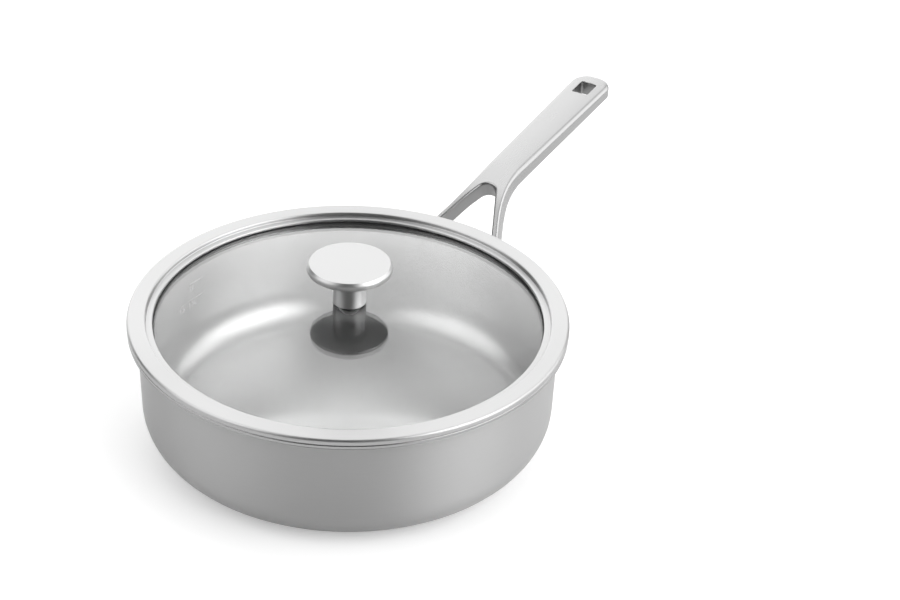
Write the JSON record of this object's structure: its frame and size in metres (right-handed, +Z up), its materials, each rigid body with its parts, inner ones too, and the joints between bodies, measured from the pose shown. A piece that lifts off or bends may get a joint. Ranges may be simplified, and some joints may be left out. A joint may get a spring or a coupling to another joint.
{
  "type": "saute pan with lid",
  "caption": "Low straight-sided stainless steel saute pan with a flared lip, one long forked handle with a hanging hole, and a domed glass lid with a steel rim and a disc knob.",
  "frame": {"origin": "middle of the base, on the surface that the pan stands on", "axes": "+Z up, +X along the handle"},
  "size_m": [0.4512, 0.2564, 0.1112],
  "materials": {
    "pan_steel": "satin stainless steel, brushed round the wall and spun on the floor",
    "pan_core": "plain rolled aluminium, sealed between the steel sheets",
    "handle_steel": "satin cast stainless steel, brushed along its length",
    "lid_steel": "fine satin stainless steel, brushed round the ring",
    "knob_steel": "fine satin stainless steel, turned",
    "fastener_steel": "plain stainless steel",
    "seal_rubber": "matt black silicone",
    "lid_glass": "clear tempered glass"
  },
  "bodies": {
    "pan": {"pan_outer_ply": "pan_steel", "pan_core_ply": "pan_core", "pan_inner_ply": "pan_steel", "handle": "handle_steel"},
    "lid": {"lid_rim": "lid_steel", "lid_skirt": "lid_steel", "lid_gasket": "seal_rubber", "lid_glass": "lid_glass", "knob_cap": "knob_steel", "knob_stem": "knob_steel", "knob_upper_seal": "seal_rubber", "knob_bush": "seal_rubber", "knob_lower_seal": "seal_rubber", "knob_washer": "fastener_steel", "knob_screw": "fastener_steel"}
  },
  "joints": [
    {"name": "lid_lift", "type": "slide", "parent": "pan", "child": "lid", "axis": [0, 0, 1], "range_m": [0, 0.12]}
  ]
}
